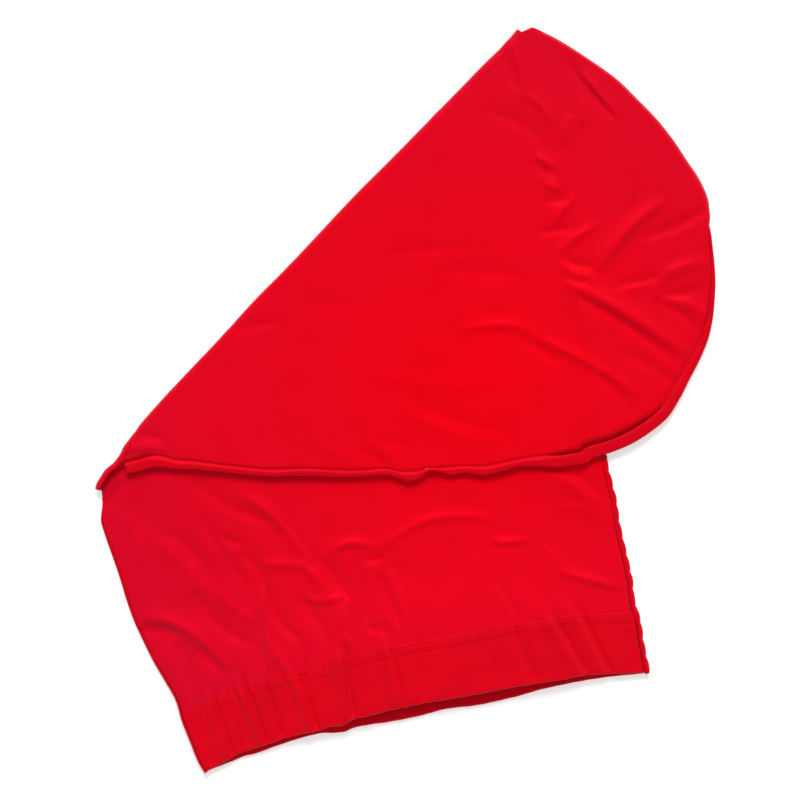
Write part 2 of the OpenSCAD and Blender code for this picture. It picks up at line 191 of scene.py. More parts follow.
def by_length(points):
    """Smooth curve through the points, with the share of its length at each of its points."""
    fine = smooth_curve(points, 16)
    run = run_of(fine)
    return fine, run / run[-1], float(run[-1])


def on_curve(curve, share):
    """Point of such a curve at a share of its length."""
    return np.stack([np.interp(share, curve[1], curve[0][:, k]) for k in (0, 1)], axis=-1)


HEMS = {True: by_length(FRONT_HEM), False: by_length(BACK_HEM)}
SIDES = [smooth_curve(LEFT_SIDE, 8), smooth_curve(RIGHT_SIDE, 8)]
FOLD_CURVE = by_length(FOLD_LINE)
RAND_CURVE = by_length(RAND_EDGE)
RAND_LEN = RAND_CURVE[2]


def hem_at(u, is_front):
    """Hem of the front or the back by its share of length."""
    return on_curve(HEMS[is_front], u)


def fold_edge(u):
    """Outer edge of the fold by its share of length, run on straight past its ends."""
    inside = on_curve(FOLD_CURVE, u)
    fine = FOLD_CURVE[0]
    before, after = fine[0] - fine[8], fine[-1] - fine[-9]
    inside = inside + np.minimum(u, 0)[..., None] * -before / np.hypot(*before) * FOLD_CURVE[2]
    return inside + np.maximum(u - 1, 0)[..., None] * after / np.hypot(*after) * FOLD_CURVE[2]


def fold_normal(u):
    """Outward normal of the fold's edge, taken over a short stretch of it."""
    return left_of(unit(fold_edge(u + 0.015) - fold_edge(u - 0.015)))


def fold_at(u):
    """Line where the fold's bend starts: the edge moved in by the bend's half height and
    its swell."""
    return fold_edge(u) - fold_normal(u) * ((TOP_Z - BACK_Z + FABRIC_T) / 2 + FOLD_SWELL)


def column_len(u, is_front):
    """Straight length of a column of the panel, hem to fold."""
    return np.linalg.norm(fold_at(u) - hem_at(u, is_front), axis=-1)


def side_shift(side, p, start, end):
    """How far a side's outline stands off the straight line from its hem to its fold."""
    outline = SIDES[side]
    straight = start[0] + (end[0] - start[0]) * (p[..., 1] - start[1]) / (end[1] - start[1])
    return np.interp(p[..., 1], outline[:, 1], outline[:, 0]) - straight


def body_at(u, d, is_front):
    """Panel below the fold: d up a straight column; the columns near each side are drawn to
    that side's outline, by the cube of their closeness on the left and its sixth power on
    the right."""
    run = column_len(u, is_front)
    p = mix(hem_at(u, is_front), fold_at(u), (d / run)[..., None])
    ends = np.array([0.0, 1.0])
    low, high = hem_at(ends, is_front), fold_at(ends)
    fade = 1 - ease((d / run - 0.9) / 0.1)
    left = side_shift(0, p, low[0], high[0]) * (1 - u) ** 3 * fade
    right = side_shift(1, p, low[1], high[1]) * u ** 6 * fade
    p[..., 0] += left + right
    return p


def rand_at(u):
    """Outer edge of the rand by its share of length."""
    return on_curve(RAND_CURVE, np.clip(u, 0, 1))


def rand_in(u):
    """Plane direction from the rand's edge into the flap."""
    return left_of(unit(rand_at(np.minimum(1, u + 0.006)) - rand_at(np.maximum(0, u - 0.006))))


LOOP_END = CASING_W * 2.6 / RAND_LEN
TUCK_END = 0.95 * LOOP_END
LEFT_IN = (LEFT_SEAM_W + SEAM_CLEAR) / WAIST_W
RIGHT_IN = (RIGHT_SEAM_W + SEAM_CLEAR) / WAIST_W
CORNER_SHARE = mix(LEFT_IN, GATHER_W / WAIST_W, 0.25)


def cloth_edge(u, inset):
    """Edge of the flap's cloth: inset millimetres in from the rand, less at the two ends."""
    reach = np.minimum(1, np.maximum(0.1, np.minimum(u, 1 - u) / TUCK_END))
    return rand_at(u) + rand_in(u) * (inset * reach)[..., None]


def rand_share(u):
    """Where a column meets the rand: the first ones in the left corner, the last at the tip."""
    first = TUCK_END * (u - LEFT_IN) / (CORNER_SHARE - LEFT_IN)
    last = mix(TUCK_END, 1.0, (u - CORNER_SHARE) / (1 - RIGHT_IN - CORNER_SHARE))
    return np.where(u < CORNER_SHARE, first, last)


def flap_frame(p):
    """Distance along the fold and below it."""
    q = p - FOLD_LEFT
    return q @ FOLD_DIR, -(q @ FOLD_OUT)


def sink(p):
    """How far the flap sinks to the floor beside the body."""
    edge = WAIST_W / 2 + RIGHT_LEAN * p[..., 1] / RIGHT_H
    return SINK_H * ease((p[..., 0] - edge) / SINK_W)


def mouth(u, d):
    """Rise of the open mouth of the waist, fading up the front."""
    across = ease(u / MOUTH_LEFT) * ease((1 - u) / MOUTH_RIGHT)
    return MOUTH_RISE * across * (1 - ease(d / MOUTH_RUN))


# ---- folds and creases ---------------------------------------------------------

def crease(p, line, width, height, side=0.0):
    """Fold along a quadratic curve through three points: a bell across it, width wide and
    height high, with a narrow crest on top, that fades towards both ends; side steepens its
    left flank (+) or its right one (-)."""
    a, b, c = (np.array(q, float) for q in line)
    b = 2 * b - (a + c) / 2
    t = np.linspace(0, 1, 25)[:, None]
    curve = (1 - t) ** 2 * a + 2 * t * (1 - t) * b + t * t * c
    lo, hi = curve.min(0) - 4 * width, curve.max(0) + 4 * width
    near = np.all((p > lo) & (p < hi), axis=-1)
    rise = np.zeros(p.shape[:-1])
    if not near.any():
        return rise
    q = p[near]
    start, step = curve[:-1], np.diff(curve, axis=0)
    gap = q[:, None, :] - start[None]
    along = np.clip((gap * step).sum(-1) / (step * step).sum(-1), 0, 1)
    off = gap - along[..., None] * step
    dist = np.linalg.norm(off, axis=-1)
    best = dist.argmin(1)
    rows = np.arange(len(q))
    o, s = off[rows, best], step[best]
    left = np.sign(s[:, 0] * o[:, 1] - s[:, 1] * o[:, 0])
    place = (best + along[rows, best]) / len(step)
    d = dist[rows, best] / (width * (1 - side * left))
    bell = 0.72 * np.exp(-d ** 2) + 0.28 * np.exp(-(2.6 * d) ** 2)
    rise[near] = height * bell * np.sin(math.pi * np.clip(place, 0, 1)) ** 0.6
    return rise


def creases(p, rows):
    """Sum of a list of folds: start, middle, end, width, height and steep side."""
    total = np.zeros(p.shape[:-1])
    for start, middle, end, width, height, side in rows:
        total += crease(p, (start, middle, end), width, height, side)
    return total


# Folds of the flap's top: start, middle, end, width, height, steep side
FLAP_FOLDS = [
    # folds that run down to the rand on the right
    [(198, 332), (240, 296), (288, 245), 7, 4.2, -0.45],
    [(205, 320), (243, 283), (278, 242), 5, -2.4, 0.0],
    [(100, 312), (140, 309), (165, 292), 5, 1.8, -0.3],
    [(160, 295), (203, 260), (238, 222), 5, 2.6, -0.4],
    [(207, 250), (222, 230), (228, 203), 5, -1.8, 0.0],
    [(150, 295), (166, 281), (180, 265), 5, -1.4, 0.0],
    [(232, 264), (250, 250), (270, 225), 5, -2.0, 0.0],
    [(229, 335), (261, 362), (298, 380), 7, 3.8, -0.4],
    [(270, 354), (300, 357), (334, 366), 3.5, -3.0, 0.0],
    [(238, 320), (262, 319), (288, 319), 4, -1.8, 0.0],
    [(240, 315), (256, 314), (272, 315), 3, 1.0, 0.0],
    [(271, 312), (292, 321), (322, 322), 5, 2.4, 0.0],
    [(271, 315), (272, 307), (272, 300), 3, 1.4, 0.0],
    [(272, 304), (292, 300), (312, 302), 4, -2.2, 0.0],
    [(272, 300), (292, 293), (312, 276), 5, 2.0, 0.2],
    [(268, 298), (286, 287), (300, 264), 4, -1.8, 0.0],
    # folds about the place where all of them meet
    [(200, 350), (208, 337), (228, 328), 4, 1.8, -0.3],
    [(203, 352), (212, 345), (226, 340), 3.5, -1.8, 0.0],
    [(206, 333), (212, 331), (219, 330), 3, -1.2, 0.0],
    [(200, 357), (215, 366), (240, 374), 4, 2.2, -0.2],
    [(187, 378), (202, 377), (217, 376), 3.5, -1.8, 0.0],
    [(202, 384), (214, 394), (224, 402), 4, 2.2, -0.2],
    [(197, 402), (207, 402), (220, 399), 4, -1.8, 0.0],
    [(202, 418), (208, 412), (214, 410), 3.5, 1.6, -0.2],
    [(199, 442), (205, 436), (210, 428), 4, 1.8, -0.3],
    [(196, 438), (204, 428), (215, 424), 4.5, -1.8, 0.0],
    # long soft folds towards the tip
    [(198, 498), (212, 484), (221, 462), 5, 1.4, -0.2],
    [(165, 490), (200, 464), (211, 432), 7, -1.4, 0.0],
    [(222, 445), (229, 457), (237, 470), 5, 1.6, 0.0],
    [(243, 456), (246, 466), (249, 480), 4, 1.4, 0.0],
    [(252, 503), (263, 482), (275, 458), 4, 2.2, -0.3],
    [(242, 518), (257, 484), (272, 458), 5, -1.8, 0.0],
    [(269, 384), (276, 402), (283, 421), 3.5, 1.4, 0.2],
    [(201, 540), (203, 518), (202, 496), 5, 1.2, -0.4],
    [(194, 536), (195, 518), (196, 500), 5, -1.0, 0.0],
    # facets beside the body's right side
    [(202, 334), (207, 300), (206, 258), 6, 1.6, 0.2],
    [(206, 256), (202, 226), (195, 197), 6, 1.6, 0.2],
    # storage crease and soft hollows of the middle and left
    [(132, 506), (110, 444), (88, 384), 4, 1.0, -0.3],
    [(88, 384), (77, 342), (62, 290), 4, 0.9, -0.3],
    [(60, 290), (44, 246), (30, 206), 5, 0.8, 0.0],
    [(94, 366), (130, 358), (168, 344), 7, -1.3, 0.0],
    [(56, 392), (98, 385), (144, 374), 7, -0.8, 0.0],
    [(52, 268), (84, 240), (124, 220), 7, -1.6, 0.0],
    [(34, 262), (64, 240), (98, 214), 6, 0.9, 0.0],
    [(-2, 238), (10, 224), (22, 210), 4, -1.4, 0.0],
    [(6, 243), (17, 227), (27, 211), 4, 1.2, 0.0],
    [(18, 237), (28, 234), (40, 229), 4, -0.9, 0.0],
    [(16, 292), (64, 277), (112, 258), 6, 0.6, 0.0],
    [(-50, 262), (-26, 239), (6, 212), 6, 0.9, 0.0],
    [(-86, 356), (-62, 357), (-40, 355), 5, -1.2, 0.0],
    [(-184, 292), (-173, 287), (-162, 281), 3.5, -1.3, 0.0],
    [(-120, 290), (-108, 268), (-98, 246), 6, 0.8, 0.0],
    [(-20, 372), (4, 360), (34, 348), 7, -0.7, 0.0],
    # roll beside the left corner
    [(-210, 275), (-188, 279), (-160, 272), 4, 1.6, -0.4],
]

# Folds of the front, between the waistband and the flap
FRONT_FOLDS = [
    # long hollow and ridge that come out from under the flap
    [(-148, 246), (-122, 214), (-86, 190), 6, -2.6, 0.0],
    [(-112, 222), (-86, 194), (-66, 150), 6, 3.2, -0.2],
    [(-80, 196), (-70, 172), (-56, 146), 6, -2.0, 0.0],
    # wide folds of the left part
    [(-180, 206), (-158, 178), (-150, 140), 7, -2.2, 0.0],
    [(-196, 208), (-174, 178), (-158, 140), 8, 1.6, 0.0],
    [(-166, 150), (-150, 114), (-124, 94), 6, -2.4, 0.0],
    [(-154, 160), (-138, 130), (-120, 112), 6, 1.6, 0.0],
    [(-146, 210), (-137, 178), (-118, 138), 4, -1.8, 0.0],
    [(-135, 192), (-125, 183), (-111, 176), 4, -2.0, 0.0],
    # sharp fold with its pocket
    [(-122, 174), (-110, 156), (-107, 128), 4, -3.0, 0.0],
    [(-107, 140), (-103, 112), (-86, 88), 4.5, -3.2, 0.0],
    [(-92, 98), (-89, 84), (-91, 66), 4, -2.0, 0.0],
    [(-108, 142), (-112, 124), (-118, 106), 5, 3.0, 0.0],
    [(-118, 112), (-114, 90), (-106, 64), 5, 2.8, 0.0],
    [(-120, 122), (-124, 92), (-140, 58), 4.5, -2.8, 0.0],
    # left end
    [(-216, 138), (-182, 120), (-152, 78), 7, 3.6, -0.4],
    [(-220, 129), (-204, 124), (-188, 118), 5, -3.0, 0.0],
    [(-188, 112), (-187, 90), (-185, 66), 6, -1.8, 0.0],
    [(-177, 102), (-168, 90), (-158, 74), 5, -1.8, 0.0],
    [(-204, 110), (-200, 88), (-196, 62), 8, 1.4, 0.0],
    # middle
    [(-106, 159), (-88, 155), (-70, 150), 5, 2.0, 0.0],
    [(-76, 152), (-64, 138), (-58, 116), 4.5, 2.6, 0.0],
    [(-82, 127), (-72, 106), (-64, 70), 5, -3.0, 0.0],
    [(-84, 126), (-62, 117), (-42, 118), 3.5, 2.0, -0.2],
    [(-53, 151), (-47, 132), (-40, 113), 6, -3.0, 0.0],
    [(-50, 112), (-51, 92), (-48, 64), 5, 1.8, 0.0],
    [(-54, 94), (-50, 88), (-44, 82), 4, -1.2, 0.0],
    [(-56, 80), (-54, 68), (-51, 54), 4, -2.4, 0.0],
    [(-46, 154), (-28, 159), (-6, 148), 4.5, 2.6, -0.3],
    [(-22, 144), (-12, 141), (-3, 143), 3.5, -2.2, 0.0],
    [(3, 150), (2, 138), (0, 126), 4, -1.2, 0.0],
    [(-6, 148), (46, 163), (98, 148), 4, 1.8, -0.2],
    [(88, 134), (102, 129), (120, 127), 3, 2.0, -0.3],
    [(120, 127), (135, 110), (141, 92), 5, 1.2, 0.0],
    [(136, 96), (162, 82), (188, 68), 4, 2.4, -0.3],
    [(-28, 146), (-28, 116), (-31, 82), 5, -1.9, 0.0],
    [(-34, 142), (-34, 116), (-38, 90), 4, 0.9, 0.0],
    [(-12, 128), (-8, 108), (-4, 82), 4.5, -2.8, 0.0],
    [(-18, 90), (-12, 74), (-8, 56), 4.5, -2.6, 0.0],
    [(-4, 128), (2, 100), (0, 66), 6, 1.2, 0.0],
    [(-30, 88), (-22, 82), (-14, 76), 4, -2.0, 0.0],
    [(-20, 76), (-23, 70), (-25, 62), 4, -1.0, 0.0],
    [(88, 98), (91, 80), (95, 60), 3.5, -2.8, 0.0],
    [(83, 98), (86, 80), (90, 62), 4, 1.0, 0.0],
    [(52, 146), (52, 126), (51, 104), 5, -1.2, 0.0],
    [(160, 182), (176, 166), (187, 146), 6, -1.7, 0.0],
    [(120, 190), (164, 166), (186, 130), 8, 1.4, 0.0],
    [(146, 147), (168, 142), (185, 122), 5, 1.0, 0.0],
    # under the left corner
    [(-206, 236), (-197, 228), (-186, 222), 8, -1.0, 0.0],
    [(-216, 232), (-206, 209), (-200, 184), 7, 1.4, 0.0],
    [(-186, 252), (-198, 226), (-214, 196), 7, -1.6, 0.0],
    [(-206, 262), (-213, 250), (-223, 234), 7, -3.0, 0.0],
]

# Pleats of the front waistband: where the groove meets its top edge and its hem,
# width and depth, and the width and height of the roll beside it
BAND_PLEATS = [
    [-187, -185, 3, 1.4, 5, 1.0], [-169, -167, 2.5, 3.0, 4, 2.2], [-160, -158, 4, 0.8, 5, 0.5],
    [-152, -151, 4, 0.8, 5, 0.5], [-141, -137, 2.5, 3.2, 4, 2.2], [-130, -130, 4, 0.9, 5, 0.6],
    [-122, -123, 2.5, 2.8, 4.5, 2.0], [-98, -94, 2.5, 3.0, 4, 2.2], [-91, -91, 2.5, 2.4, 4, 1.2],
    [-54, -60, 3, 3.6, 5, 2.6], [-28, -32, 6, 1.0, 6, 0.6], [-15, -18, 2.5, 1.6, 3.5, 2.0],
    [6, 3, 6, 1.3, 8, 0.8], [90, 96, 5, 1.4, 8, 0.8], [127, 140, 3.5, 2.2, 6, 1.8],
    [147, 162, 3.5, 2.0, 6, 1.6],
]


def band_folds(x, d):
    """Pleats of the front band: each a groove with a roll on its left, bell shaped across,
    deepest in the middle of the band's height."""
    total = np.zeros(np.broadcast(x, d).shape)
    up = d / BAND_H
    for top, hem, width, depth, roll_w, roll_h in BAND_PLEATS:
        middle = mix(hem, top, up) + 1.2 * np.sin(3 * up + hem)
        fade = ease((d + 14) / 18) * (1 - ease((d - BAND_H + 4) / 26))
        total -= depth * np.exp(-((x - middle) / width) ** 2) * fade
        total += roll_h * np.exp(-((x - middle + width + 0.6 * roll_w) / roll_w) ** 2) * fade
    return total


def puckers(x, d):
    """Small gathers that the two rows of thread draw in: ridges across the band's top edge,
    strong on the left and faint past the middle."""
    strong = ease((x + 196) / 16) * (1 - 0.85 * ease((x + 100) / 50))
    line = x + 0.16 * (d - BAND_H) + 2.2 * np.sin(x / 17.0)
    comb = np.cos(2 * math.pi * line / 5.4) + 0.5 * np.cos(2 * math.pi * line / 8.7 + 1)
    return 0.5 * strong * comb * np.exp(-((d - BAND_H + 2) / 11) ** 2)


def front_height(u, d, p):
    """Middle height of the front: level by the flap, raised at the open mouth, plus folds."""
    x = p[..., 0]
    base = mix(FRONT_BAND_Z, FRONT_Z, ease((d - BAND_H) / FRONT_SETTLE)) + mouth(u, d)
    down, low = flap_frame(p)
    rim_down, rim_low = flap_frame(rand_at(np.linspace(0, 0.62, 120)))
    drop = np.interp(down, np.maximum.accumulate(rim_down), rim_low)
    clear = ease((low - drop - 1) / 11) * ease((d - BAND_TOP + 4) / 22)
    folds = creases(p, FRONT_FOLDS) + 0.28 * waves(x, p[..., 1], 46, 5)
    folds = np.where(folds < 0, -2.2 * np.tanh(-folds / 2.2), folds)
    return base + clear * folds + band_folds(x, d) + puckers(x, d)


def flap_top(p):
    """Middle height of the flap's top cloth: sunk beside the body, with its creases."""
    folds = creases(p, FLAP_FOLDS) + 0.22 * waves(p[..., 0], p[..., 1], 90, 11)
    folds += 0.10 * waves(p[..., 0], p[..., 1], 34, 23)
    folds = np.where(folds < 0, -1.6 * np.tanh(-folds / 1.6), folds)
    return TOP_Z + FLAP_LIFT - sink(p) + folds


# ---- meshes -----------------------------------------------------------------

def new_mesh(name, points, quads, uv=None):
    """Object with its points in metres, quad faces and a UV for every point."""
    mesh = bpy.data.meshes.new(name)
    points = np.asarray(points, float) * MM
    quads = np.asarray(quads, dtype=np.int64)
    mesh.vertices.add(len(points))
    mesh.vertices.foreach_set("co", points.ravel())
    mesh.loops.add(quads.size)
    mesh.loops.foreach_set("vertex_index", quads.ravel())
    mesh.polygons.add(len(quads))
    mesh.polygons.foreach_set("loop_start", np.arange(len(quads)) * quads.shape[1])
    mesh.polygons.foreach_set("loop_total", np.full(len(quads), quads.shape[1]))
    mesh.update(calc_edges=True)
    if uv is not None:
        layer = mesh.uv_layers.new(name="cloth")
        layer.data.foreach_set("uv", (np.asarray(uv, float)[quads.ravel()] * MM).ravel())
    mesh.shade_smooth()
    mesh.validate()
    piece = bpy.data.objects.new(name, mesh)
    SCENE.collection.objects.link(piece)
    return piece


def grid_quads(rows, cols, first=0, flip=False, wrap=False):
    """Quads of a grid of rows by cols points, numbered from first."""
    r, c = np.meshgrid(np.arange(rows - 1), np.arange(cols if wrap else cols - 1), indexing="ij")
    a = first + r * cols + c
    b = first + r * cols + (c + 1) % cols
    quads = np.stack([a, b, b + cols, a + cols], axis=-1).reshape(-1, 4)
    return quads[:, ::-1] if flip else quads


def grid_normals(grid):
    """Unit normals of a grid of points, from its two directions."""
    return unit(np.cross(np.gradient(grid, axis=1), np.gradient(grid, axis=0)))


def cloth(name, grid, uv, thick=FABRIC_T):
    """Closed sheet: the grid moved half its thickness to both sides, with walls round it."""
    rows, cols = grid.shape[:2]
    normals = grid_normals(grid) * thick / 2
    points = np.concatenate([(grid + normals).reshape(-1, 3), (grid - normals).reshape(-1, 3)])
    n = rows * cols
    i = np.arange(n).reshape(rows, cols)
    rim = np.concatenate([i[0, :-1], i[:-1, -1], i[-1, :0:-1], i[:0:-1, 0]])
    after = np.roll(rim, -1)
    walls = np.stack([rim, rim + n, after + n, after], axis=-1)
    quads = np.vstack([grid_quads(rows, cols), grid_quads(rows, cols, n, flip=True), walls])
    return new_mesh(name, points, quads, np.concatenate([uv.reshape(-1, 2)] * 2))


def tube(name, rings, uv=None):
    """Closed skin over rings of points that joins its last ring to its first."""
    count, n = rings.shape[:2]
    quads = grid_quads(count + 1, n, wrap=True) % (count * n)
    return new_mesh(name, rings.reshape(-1, 3), quads, uv)


def rod(name, rings, uv=None):
    """Skin over rings of points, closed at each end by strips across the ring."""
    count, n = rings.shape[:2]
    quads = grid_quads(count, n, wrap=True)
    k = np.arange(n // 2 - 1)
    cap = np.stack([k, k + 1, n - 2 - k, n - 1 - k], axis=-1)
    last = (count - 1) * n
    return new_mesh(name, rings.reshape(-1, 3), np.vstack([quads, cap[:, ::-1], cap + last]), uv)


def outward(piece):
    """Recalculate a closed piece's normals so that they point out."""
    work = bmesh.new()
    work.from_mesh(piece.data)
    bmesh.ops.recalc_face_normals(work, faces=work.faces)
    work.to_mesh(piece.data)
    work.free()
    return piece


def run_uv(grid, across):
    """UV in cut cloth: across is the column's place, up is the length run along it."""
    step = np.linalg.norm(np.diff(grid, axis=0), axis=-1)
    up = np.concatenate([np.zeros((1, grid.shape[1])), np.cumsum(step, axis=0)])
    return np.stack([np.broadcast_to(across, up.shape), up], axis=-1)


# ---- panels -------------------------------------------------------------------

PANEL_START = 41.5
# The rand below the flap's edge: x, y of its outer edge, visible width there
RAND_SHOW = [(-222, 255, 2), (-212, 260, 7), (-200, 260, 10.5), (-180, 260, 11), (-168, 259, 8.5),
             (-157, 254.5, 7), (-120, 243, 6), (-80, 229.5, 6), (-50, 223, 6.5), (0, 211, 5.5),
             (23, 204, 6), (32, 199, 8.5), (42, 199.5, 6.5), (50, 203, 2.8), (58, 201, 3.5),
             (68, 196, 7), (80, 195, 6), (95, 189.5, 7.5), (125, 189.5, 6), (140, 186.5, 8),
             (155, 182, 11.5), (168, 180.5, 12.5), (181, 179.5, 14), (205, 183.5, 13.5),
             (228, 188, 13.5), (255, 199.5, 11), (270, 213, 9), (283, 228, 8), (306, 257, 7),
             (319.5, 289, 5), (327, 322, 3.8), (330, 345, 3.0), (332.5, 362, 0.2),
             (333.5, 373, -0.5), (316, 429, -0.5), (239, 535, -0.5), (222, 549, 0.5)]


def share_of(points):
    """Share of the rand's length that is nearest to each listed point."""
    fine, share, _ = RAND_CURVE
    gap = np.linalg.norm(np.array(points, float)[:, None, :2] - fine[None], axis=-1)
    return share[gap.argmin(axis=1)]


SHOW_SHARE = share_of(RAND_SHOW)
COVERED = float(share_of([(331, 352)])[0])


def rand_show(share):
    """Visible width of the rand, eased from one listed place to the next."""
    width = np.array(RAND_SHOW)[:, 2]
    i = np.clip(np.searchsorted(SHOW_SHARE, share) - 1, 0, len(width) - 2)
    t = ease((share - SHOW_SHARE[i]) / np.maximum(SHOW_SHARE[i + 1] - SHOW_SHARE[i], 1e-6))
    return mix(width[i], width[i + 1], t)


def turn_rows(u, low_z, high_z, steps):
    """Bend of the cloth at the fold: half circle from the lower height to the upper one."""
    q, out = fold_at(u), fold_normal(u)
    rows = []
    for k in range(steps + 1):
        a = math.pi * (k / steps - 0.5)
        half = (high_z - low_z) / 2
        flat = q + out * (half * math.cos(a))[..., None]
        rows.append(lifted(flat, low_z + half + half * math.sin(a)))
    return np.stack(rows)


def back_panel():
    """Back cloth: rows of straight columns flat under the body, a half circle round the
    fold, and rows blended from the fold to the rand on top of the flap."""
    u = np.concatenate([np.linspace(LEFT_IN, CORNER_SHARE, 24, endpoint=False),
                        np.linspace(CORNER_SHARE, 0.5, 66, endpoint=False),
                        np.linspace(0.5, 1 - RIGHT_IN, 165)])
    run = column_len(u, False)
    body = []
    for k in np.linspace(0, 1, 18, endpoint=False):
        d = PANEL_START + (run - PANEL_START) * k
        p = body_at(u, d, False)
        z = mix(BACK_BAND_Z, BACK_Z, ease((d - BAND_H) / 30))
        body.append(lifted(p, z))
    high = flap_top(fold_at(u))
    turn = turn_rows(u, np.full(u.shape, BACK_Z), high, 9)
    share = rand_share(u)
    lip = ease((share - 0.60) / 0.06)
    inset = rand_show(share) - 1.5 * (1 - lip)
    edge = rand_at(share) + rand_in(share) * inset[:, None]
    k = np.linspace(0, 1, 160)[1:, None, None]
    flat = mix(fold_at(u)[None], edge[None], k)
    z = flap_top(flat)
    left = np.linalg.norm(flat - edge[None], axis=-1)
    soft = -3.0 * (1 - ease(left / 5.5))
    crisp = 0.9 * (1 - ease((left - 1) / 7)) - 1.5 * (1 - ease(left / 1.4))
    over = ease((share - COVERED) / 0.02)[None]
    round_end = -5.0 * (1 - np.sqrt(np.clip(left / 5, 0, 1)))
    ends = ease(np.minimum(share, 1 - share) / 0.02)[None]
    z = z + mix(mix(soft, crisp, lip), round_end, over) * ends
    flap = lifted(flat, z)
    grid = np.concatenate([np.stack(body), turn, flap])
    return cloth("back_panel_cloth", grid, run_uv(grid, u * WAIST_W))


def front_panel():
    """Front cloth: rows of columns up the body with its folds, close together in the lower
    330 mm, a half circle round inside the fold, and rows back under the flap."""
    u = np.linspace(LEFT_IN, 1 - RIGHT_IN, 250)
    run = column_len(u, True)
    rows = []
    places = np.concatenate([np.linspace(0, 0.62, 145, endpoint=False),
                             np.linspace(0.62, 1, 14, endpoint=False)])
    for k in places:
        span = np.minimum(run, 330)
        d = np.where(k < 0.62, PANEL_START + (span - PANEL_START) * k / 0.62,
                     mix(span, run, (k - 0.62) / 0.38))
        d = np.minimum(d, run * 0.999)
        p = body_at(u, d, True)
        rows.append(lifted(p, front_height(u, d, p)))
    q = fold_at(u)
    turn = turn_rows(u, np.full(u.shape, FRONT_Z), UNDER_Z - sink(q), 5)
    share = rand_share(u)
    k = np.linspace(0, 1, 30)[1:, None, None]
    flat = mix(q[None], cloth_edge(share, CASING_W - 2.5)[None], k)
    flap = lifted(flat, UNDER_Z - sink(flat))
    grid = np.concatenate([np.stack(rows), turn, flap])
    return cloth("front_panel_cloth", grid, run_uv(grid, u * WAIST_W))


# ---- waistband ------------------------------------------------------------------

def folded_profile(width, half, cavity, round_n=8, flat_n=14):
    """Folded strip in section: round at reach 0, open at reach width; rings are an even
    number of points, outer face first."""
    a = np.linspace(math.pi / 2, 3 * math.pi / 2, round_n + 1)
    outer = np.column_stack([half + half * np.cos(a), half * np.sin(a)])
    reach = np.linspace(width, half, flat_n)[:-1]
    top = np.column_stack([reach, np.full(reach.shape, half)])
    low = np.column_stack([reach[::-1], np.full(reach.shape, -half)])
    inner_low = np.column_stack([reach, np.full(reach.shape, -cavity)])
    inner_top = np.column_stack([reach[::-1], np.full(reach.shape, cavity)])
    return np.vstack([top, outer, low, inner_low, inner_top])


def profile_caps(section_n, round_n, flat_n):
    """Strips that close the ends of a folded strip: outer points paired with inner ones."""
    m = flat_n - 1
    top = np.arange(m)
    inner_top = section_n - 1 - top
    quads = [np.stack([top[:-1], top[1:], inner_top[1:], inner_top[:-1]], axis=-1)]
    low0 = m + round_n + 1
    low = low0 + np.arange(m)
    inner_low = low0 + m + (m - 1 - np.arange(m))
    quads.append(np.stack([low[:-1], low[1:], inner_low[1:], inner_low[:-1]], axis=-1))
    r = round_n // 2
    arc = m - 1 + np.arange(r + 1)
    back = low0 - np.arange(r + 1)
    quads.append(np.stack([arc[:-1], arc[1:], back[1:], back[:-1]], axis=-1))
    return np.vstack(quads)


def band(name, u, is_front, height):
    """Waistband: the folded strip carried along the hem; height gives its middle line."""
    round_n, flat_n = 8, 40
    section = folded_profile(BAND_TOP, BAND_HALF, ELASTIC_T / 2 + GAP, round_n, flat_n)
    d = np.broadcast_to(section[None, :, 0], (len(u), len(section)))
    uu = np.broadcast_to(u[:, None], d.shape)
    p = body_at(uu, d, is_front)
    z = section[None, :, 1] + height(uu, d, p, section[None, :, 1])
    rings = lifted(p, z)
    count, n = rings.shape[:2]
    quads = grid_quads(count, n, wrap=True)
    caps = profile_caps(n, round_n, flat_n)
    quads = np.vstack([quads, caps, caps[:, ::-1] + (count - 1) * n])
    around = run_of(section)
    uv = np.stack([uu * WAIST_W, np.broadcast_to(around[None], d.shape)], axis=-1)
    piece = new_mesh(name, rings.reshape(-1, 3), quads, uv.reshape(-1, 2))
    return outward(piece)


def front_band_height(u, d, p, s):
    """Middle of the front band, with pleats on its outer face and half of them inside."""
    x = p[..., 0]
    base = FRONT_BAND_Z + mix(mouth(u, 0 * d), mouth(u, BAND_H + 0 * d), d / BAND_H)
    relief = band_folds(x, d) + puckers(x, d)
    rows = 0.4 * sum(np.exp(-((d - row) / 1.2) ** 2) for row in ROWS)
    edge = 0.5 * (1 - ease((d - 0.2) / 6))
    return base + relief * (1 - edge) - rows * (s > 0) + 0.25 * waves(x, d, 30, 3)


def back_band_height(u, d, p, s):
    """Middle of the back band, its upper face ribbed where the elastic draws it in. It is
    called as the front band's is, and needs neither d nor p."""
    rib = 0.5 + 0.5 * np.cos(2 * math.pi * RIB_N * u + 0.7 * np.sin(9 * u))
    return BACK_BAND_Z + (s > 0) * RIB_H * (1.3 * rib + 0.2 * np.cos(40 * u))


# ---- rand -----------------------------------------------------------------------

